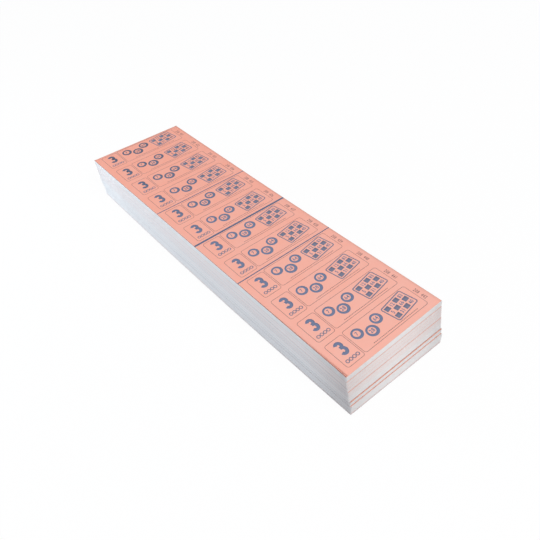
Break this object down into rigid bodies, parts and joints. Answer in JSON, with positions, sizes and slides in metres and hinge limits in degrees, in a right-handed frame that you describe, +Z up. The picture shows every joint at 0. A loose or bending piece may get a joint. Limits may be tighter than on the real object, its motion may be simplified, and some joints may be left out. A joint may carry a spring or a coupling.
{
  "type": "pile of bingo ticket books",
  "caption": "Long pile of edge-glued bingo ticket books in slipped bundles, with a salmon printed cover whose leaves turn open at the left edge.",
  "frame": {"origin": "middle of the pile's box, on the surface it lies on", "axes": "+X from the glued long edge to the free long edge, +Y from the near end to the far end, +Z up"},
  "size_m": [0.1684, 0.611, 0.0657],
  "materials": {
    "cover_paper": "matt salmon paper, printed in blue",
    "game_paper": "matt uncoated white paper",
    "padding_glue": "dried white padding glue"
  },
  "bodies": {
    "bundle_1": {"bundle_1_books": "game_paper", "bundle_1_covers": "cover_paper", "bundle_1_glue": "padding_glue"},
    "bundle_2": {"bundle_2_books": "game_paper", "bundle_2_covers": "cover_paper", "bundle_2_glue": "padding_glue"},
    "bundle_3": {"bundle_3_books": "game_paper", "bundle_3_covers": "cover_paper", "bundle_3_glue": "padding_glue"},
    "bundle_4": {"bundle_4_books": "game_paper", "bundle_4_covers": "cover_paper", "bundle_4_glue": "padding_glue"},
    "bundle_5": {"bundle_5_books": "game_paper", "bundle_5_covers": "cover_paper", "bundle_5_glue": "padding_glue"},
    "top_book": {"top_book_back_leaf": "game_paper", "top_book_glue": "padding_glue", "top_book_leaf_2_stub": "game_paper", "top_book_leaf_1_stub": "game_paper", "top_book_cover_stub": "cover_paper"},
    "top_leaf_2": {"top_book_leaf_2": "game_paper"},
    "top_leaf_1": {"top_book_leaf_1": "game_paper"},
    "top_cover": {"top_book_cover": "cover_paper"}
  },
  "joints": [
    {"name": "bundle_2_lift", "type": "slide", "parent": "bundle_1", "child": "bundle_2", "axis": [0, 0, 1], "range_m": [0, 0.08]},
    {"name": "bundle_3_lift", "type": "slide", "parent": "bundle_2", "child": "bundle_3", "axis": [0, 0, 1], "range_m": [0, 0.08]},
    {"name": "bundle_4_lift", "type": "slide", "parent": "bundle_3", "child": "bundle_4", "axis": [0, 0, 1], "range_m": [0, 0.08]},
    {"name": "bundle_5_lift", "type": "slide", "parent": "bundle_4", "child": "bundle_5", "axis": [0, 0, 1], "range_m": [0, 0.08]},
    {"name": "top_book_lift", "type": "slide", "parent": "bundle_5", "child": "top_book", "axis": [0, 0, 1], "range_m": [0, 0.08]},
    {"name": "cover_turn", "type": "hinge", "parent": "top_book", "child": "top_cover", "pos_m": [-0.07917, 0, 0.06572], "axis": [0, -1, 0], "range_deg": [0, 170]},
    {"name": "leaf_1_turn", "type": "hinge", "parent": "top_book", "child": "top_leaf_1", "pos_m": [-0.07887, 0, 0.0656], "axis": [0, -1, 0], "range_deg": [0, 119]},
    {"name": "leaf_2_turn", "type": "hinge", "parent": "top_book", "child": "top_leaf_2", "pos_m": [-0.07857, 0, 0.06548], "axis": [0, -1, 0], "range_deg": [0, 68]}
  ],
  "couplings": [
    {"joint": "leaf_1_turn", "follows": "cover_turn", "ratio": 0.7},
    {"joint": "leaf_2_turn", "follows": "cover_turn", "ratio": 0.4}
  ]
}
